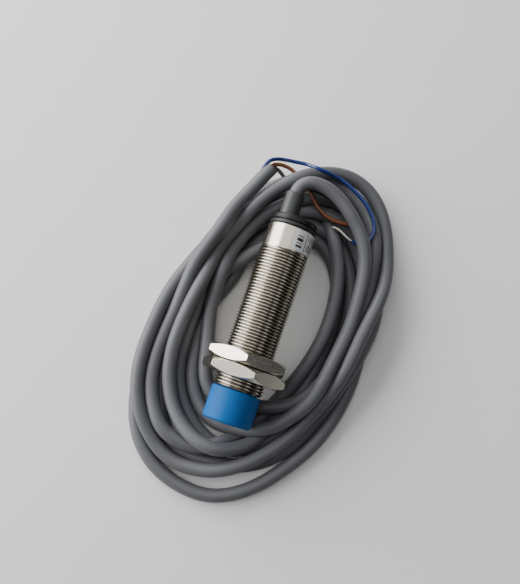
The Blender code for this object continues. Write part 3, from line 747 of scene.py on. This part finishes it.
def finish(name, colour, second, roughness, spread=0.1, patch=120.0, grain=2500.0, depth=0.1,
           specks=0.1, speck_colour=(0.6, 0.6, 0.58), stretch=(1, 1, 1), metallic=0.0, coat=0.0,
           specular=0.5, coat_roughness=0.2):
    """A material from the shared surface group and the shader's own plain values."""
    material = bpy.data.materials.new(name)
    material.use_nodes = True
    tree = material.node_tree
    shader = tree.nodes["Principled BSDF"]
    group = tree.nodes.new('ShaderNodeGroup')
    group.node_tree = SURFACE
    for key, value in (("Colour", (*colour, 1)), ("Second", (*second, 1)), ("Patch", patch),
                       ("Grain", grain), ("Roughness", roughness), ("Spread", spread),
                       ("Depth", depth), ("Specks", specks), ("Speck Colour", (*speck_colour, 1)),
                       ("Stretch", stretch)):
        group.inputs[key].default_value = value
    tree.links.new(group.outputs["Colour"], shader.inputs["Base Color"])
    tree.links.new(group.outputs["Roughness"], shader.inputs["Roughness"])
    tree.links.new(group.outputs["Normal"], shader.inputs["Normal"])
    shader.inputs["Metallic"].default_value = metallic
    shader.inputs["Coat Weight"].default_value = coat
    shader.inputs["Coat Roughness"].default_value = coat_roughness
    shader.inputs["Specular IOR Level"].default_value = specular
    return material


def band(tree, value, low, high):
    """One where a value is between low and high, zero elsewhere."""
    above = place(tree, 'ShaderNodeMath', {0: value, 1: low}, operation='GREATER_THAN')
    below = place(tree, 'ShaderNodeMath', {0: value, 1: high}, operation='LESS_THAN')
    return place(tree, 'ShaderNodeMath', {0: above.outputs[0], 1: below.outputs[0]},
                 operation='MULTIPLY').outputs[0]


def paint_groove_shade(material):
    """Painted shade in the roots of the thread, where the shadow falls: the colour sinks with
    the distance from the axis below the crests, along the threaded length only."""
    tree = material.node_tree
    shader = tree.nodes["Principled BSDF"]
    under = shader.inputs["Base Color"].links[0].from_socket
    where = place(tree, 'ShaderNodeTexCoord').outputs["Object"]
    flat = place(tree, 'ShaderNodeVectorMath', {0: where, 1: (1.0, 0.0, 1.0)},
                 operation='MULTIPLY').outputs["Vector"]
    reach = place(tree, 'ShaderNodeVectorMath', {0: flat}, operation='LENGTH').outputs["Value"]
    deep = place(tree, 'ShaderNodeMapRange', {
        "Value": reach, "From Min": 7.74 * MM, "From Max": 7.36 * MM, "To Min": 0.0,
        "To Max": 0.85}).outputs["Result"]
    along = place(tree, 'ShaderNodeSeparateXYZ', {0: where}).outputs["Y"]
    threaded = place(tree, 'ShaderNodeMapRange', {
        "Value": along, "From Min": 56.4 * MM, "From Max": 56.0 * MM, "To Min": 0.0,
        "To Max": 1.0}).outputs["Result"]
    mask = place(tree, 'ShaderNodeMath', {0: deep, 1: threaded}, operation='MULTIPLY').outputs[0]
    # painted shade: a near-black colour mixed into the roots of the thread
    tree.links.new(colour_mix(tree, mask, under, (0.035, 0.030, 0.024, 1)),
                   shader.inputs["Base Color"])
    return material


def label_finish():
    """White film with plain printed bars and a rule: no lettering."""
    material = finish("label_film", (0.62, 0.63, 0.64), (0.55, 0.56, 0.57), 0.38, 0.1, 300.0,
                      1800.0, 0.04, 0.15, (0.35, 0.35, 0.34), coat=0.3)
    tree = material.node_tree
    shader = tree.nodes["Principled BSDF"]
    under = shader.inputs["Base Color"].links[0].from_socket
    where = place(tree, 'ShaderNodeUVMap', uv_map="print")
    parts = place(tree, 'ShaderNodeSeparateXYZ', {0: where.outputs["UV"]})
    u, v = parts.outputs["X"], parts.outputs["Y"]
    marks = [(u, 0.572, 0.600, v, 0.05, 0.64)]
    for k, (low, high) in enumerate(((0.12, 0.19), (0.24, 0.27), (0.32, 0.42), (0.47, 0.50))):
        marks.append((u, 0.24, 0.46, v, low, high))
    for k in range(4):
        marks.append((u, 0.68 + 0.09 * k, 0.72 + 0.09 * k, v, 0.10, 0.30 + 0.08 * (k % 2)))
        marks.append((u, 0.68 + 0.09 * k, 0.72 + 0.09 * k, v, 0.44 - 0.05 * (k % 2), 0.58))
    for k in range(6):
        marks.append((u, 1.15 + 0.12 * k, 1.19 + 0.12 * k, v, 0.08, 0.60 - 0.07 * (k % 3)))
    ink = None
    for one, a, b, two, c, d in marks:
        box = place(tree, 'ShaderNodeMath', {0: band(tree, one, a, b), 1: band(tree, two, c, d)},
                    operation='MULTIPLY').outputs[0]
        ink = box if ink is None else place(tree, 'ShaderNodeMath', {0: ink, 1: box},
                                            operation='MAXIMUM').outputs[0]
    tree.links.new(colour_mix(tree, ink, under, (0.015, 0.015, 0.017, 1)),
                   shader.inputs["Base Color"])
    return material


def make_finishes():
    made = {
        "nickel": finish("nickel_turned", (0.62, 0.57, 0.49), (0.55, 0.505, 0.43), 0.24, 0.1,
                         260.0, 4200.0, 0.05, 0.12, (0.42, 0.38, 0.31), (1, 0.6, 1),
                         metallic=1.0),
        "nut_nickel": finish("nickel_milled", (0.66, 0.62, 0.55), (0.58, 0.54, 0.47), 0.22, 0.1,
                             200.0, 2600.0, 0.14, 0.15, (0.45, 0.41, 0.34), (1, 5.0, 1),
                             metallic=1.0),
        "blue_cap": finish("blue_moulding", (0.002, 0.088, 0.29), (0.0015, 0.075, 0.25), 0.6, 0.12,
                           90.0, 3600.0, 0.12, 0.06, (0.12, 0.30, 0.55), specular=0.18),
        "black_plastic": finish("black_moulding", (0.006, 0.0062, 0.0066), (0.010, 0.0103, 0.0107),
                                0.34, 0.15, 150.0, 3000.0, 0.12, 0.10, (0.08, 0.08, 0.08),
                                specular=0.25),
        "ring_grey": finish("smoky_ring", (0.012, 0.0125, 0.013), (0.026, 0.0265, 0.027), 0.42, 0.15,
                            400.0, 2600.0, 0.35, 0.25, (0.12, 0.12, 0.12), specular=0.3),
        "cable_grey": finish("grey_jacket", (0.105, 0.107, 0.116), (0.090, 0.092, 0.100), 0.45,
                             0.12, 70.0, 2600.0, 0.10, 0.10, (0.34, 0.34, 0.35), specular=0.35),
        "sleeve_grey": finish("grey_sleeve", (0.045, 0.047, 0.047), (0.037, 0.039, 0.039), 0.4,
                              0.12, 120.0, 2400.0, 0.10, 0.08, (0.30, 0.30, 0.30), specular=0.35),
        "label": label_finish(),
        "ferrite": finish("ferrite", (0.045, 0.045, 0.05), (0.07, 0.07, 0.075), 0.6, 0.2, 500.0,
                          4200.0, 0.4, 0.3, (0.16, 0.16, 0.16)),
        "bobbin": finish("natural_nylon", (0.75, 0.72, 0.62), (0.68, 0.65, 0.55), 0.45, 0.12,
                         200.0, 2600.0, 0.15, 0.1, (0.5, 0.47, 0.4)),
        "copper": finish("enamelled_copper", (0.72, 0.30, 0.13), (0.55, 0.20, 0.08), 0.3, 0.15,
                         400.0, 1500.0, 0.6, 0.1, (0.3, 0.1, 0.05), (0.2, 8.0, 0.2),
                         metallic=1.0, coat=0.3),
        "board": finish("solder_mask", (0.015, 0.15, 0.055), (0.01, 0.10, 0.04), 0.32, 0.12,
                        300.0, 1800.0, 0.3, 0.2, (0.30, 0.34, 0.20), coat=0.4),
        "chip_black": finish("moulded_epoxy", (0.02, 0.02, 0.021), (0.03, 0.03, 0.031), 0.5, 0.15,
                             300.0, 4200.0, 0.35, 0.15, (0.12, 0.12, 0.12)),
        "tantalum": finish("yellow_epoxy", (0.75, 0.42, 0.05), (0.66, 0.36, 0.05), 0.42, 0.12,
                           300.0, 3200.0, 0.2, 0.1, (0.4, 0.22, 0.05)),
        "ceramic": finish("fired_ceramic", (0.62, 0.55, 0.42), (0.52, 0.46, 0.35), 0.5, 0.15,
                          500.0, 4200.0, 0.25, 0.2, (0.3, 0.27, 0.2)),
        "led": finish("lamp_epoxy", (0.85, 0.60, 0.06), (0.75, 0.5, 0.05), 0.15, 0.05, 300.0,
                      2200.0, 0.05, 0.02, (0.9, 0.8, 0.3), coat=0.6),
        "wire_blue": finish("blue_insulation", (0.004, 0.022, 0.15), (0.003, 0.016, 0.11), 0.3,
                            0.12, 200.0, 2200.0, 0.08, 0.06, (0.10, 0.18, 0.40), coat=0.15),
        "wire_brown": finish("brown_insulation", (0.20, 0.062, 0.018), (0.15, 0.045, 0.014), 0.34,
                             0.12, 200.0, 2200.0, 0.08, 0.06, (0.34, 0.18, 0.10), coat=0.15),
        "wire_black": finish("black_insulation", (0.012, 0.012, 0.014), (0.02, 0.02, 0.022), 0.32,
                             0.12, 200.0, 2200.0, 0.08, 0.06, (0.12, 0.12, 0.12), coat=0.15),
        "tinned": finish("tinned_copper", (0.72, 0.71, 0.68), (0.60, 0.58, 0.54), 0.26, 0.15,
                         500.0, 3600.0, 0.25, 0.15, (0.5, 0.4, 0.3), metallic=1.0),
    }
    # painted shade in the roots of the barrel's thread
    paint_groove_shade(made["nickel"])
    return made


def dress(piece, material):
    """Gives a new piece its finish."""
    piece.data.materials.clear()
    piece.data.materials.append(material)


# ---------------------------------------------------------------- floor and light

def floor_and_light():
    """A pale floor and soft lights: a wide window low on the left, a small panel to the right,
    a dim ceiling, and a dark room."""
    mesh = bpy.data.meshes.new("floor")
    size = 3.0                  # half the floor's side, in metres
    z = FLOOR * MM
    mesh.from_pydata([(-size, -size, z), (size, -size, z), (size, size, z), (-size, size, z)], [],
                     [(0, 1, 2, 3)])
    ground = bpy.data.objects.new("floor", mesh)
    bpy.context.scene.collection.objects.link(ground)
    ground.data.materials.append(finish(
        "pale_table", (0.80, 0.80, 0.785), (0.765, 0.765, 0.75), 0.6, 0.1, 9.0, 900.0, 0.03,
        0.0, (0.4, 0.4, 0.4)))
    side = Vector((math.cos(EYE_ROLL), math.sin(EYE_ROLL), 0.0))
    along = Vector((-math.sin(EYE_ROLL), math.cos(EYE_ROLL), 0.0))
    middle = Vector((0.0, 0.03, 0.0))
    panels = (
        # name, degrees from upright to the left, lean to the rear, metres away, sides, watts
        ("window", 68.0, 0.60, 0.65, (1.5, 0.65), 24.0),
        ("panel", -36.0, 0.10, 0.9, (0.9, 0.28), 0.9),
        ("ceiling", 9.0, 0.25, 1.3, (1.3, 1.1), 6.5),
    )
    for name, lean, rear, distance, (wide, tall), power in panels:
        light = bpy.data.lights.new(name, 'AREA')
        light.shape = 'RECTANGLE'
        light.size = wide
        light.size_y = tall
        light.energy = power
        lamp = bpy.data.objects.new(name, light)
        lean = math.radians(lean)
        direction = (-math.sin(lean) * side + math.cos(lean) * Vector((0, 0, 1)) + rear * along)
        lamp.location = middle + direction.normalized() * distance
        lamp.rotation_euler = (lamp.location - middle).to_track_quat('Z', 'Y').to_euler()
        bpy.context.scene.collection.objects.link(lamp)
    world = bpy.data.worlds.new("room")
    world.use_nodes = True
    world.node_tree.nodes["Background"].inputs["Color"].default_value = (0.9, 0.93, 1.0, 1)
    world.node_tree.nodes["Background"].inputs["Strength"].default_value = 0.06
    bpy.context.scene.world = world


# ---------------------------------------------------------------- the whole object

def main():
    """Camera and light, then the cable and its cores, the sensor's pieces, and the finishes
    of the inner CAD nodes, which stay as they are."""
    make_camera()
    floor_and_light()
    finishes = make_finishes()
    cable = cable_line()
    tangent = cable[-1] - cable[-2]
    tangent /= np.linalg.norm(tangent)
    lead_start = np.array([(SLEEVE_X, SLEEVE_END + 0.05, 0.0)])
    line = evenly(np.vstack([lead_start, cable]), 1.5)
    body, faces = tube(line, CABLE_R, 24, (),
                       [(0.12, CABLE_R - 0.1), (0.14, 1.62), (-1.6, 1.55)])
    cable_piece = make_mesh("cable_jacket", body, faces)
    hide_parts("cable_coil", "cable_lead", "cable_tail")
    dress(cable_piece, finishes["cable_grey"])

    for colour, route, rests_until in (("blue", BLUE_ROUTE, 0.66), ("brown", BROWN_ROUTE, 0.0),
                                       ("black", BLACK_ROUTE, 0.0)):
        core, core_line = conductor(f"{colour}_core", route, cable[-1], tangent, cable,
                                    rests_until)
        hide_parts(f"{colour}_wire")
        dress(core, finishes[f"wire_{colour}"])
    strands = bare_strands("blue_core_strands", TIP_ROUTE)
    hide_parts("blue_wire_tip")
    dress(strands, finishes["tinned"])

    shown = (
        (barrel(), "threaded_barrel", "nickel"), (cap(), "sensing_cap", "blue_cap"),
        (ring(), "light_ring", "ring_grey"), (rear_cap(), "end_cap", "black_plastic"),
        (sleeve(), "cable_sleeve", "sleeve_grey"), (label(), "label", "label"),
        (hex_nut("front_nut_hexagon", *FRONT_NUT, "front_nut"), "front_nut", "nut_nickel"),
        (hex_nut("rear_nut_hexagon", *REAR_NUT, "rear_nut"), "rear_nut", "nut_nickel"),
    )
    for piece, node, slot in shown:
        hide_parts(node)
        dress(piece, finishes[slot])
        if node == "label":
            add_print_map(piece)

    replaced = {node for _, node, _ in shown}
    for part in frame["record"]["subparts"]:
        node = frame["nodes"][part["node"]]
        if part["node"] not in replaced and not node.hide_render:
            for slot in node.material_slots:
                slot.material = finishes[part["material_slot"]]


main()
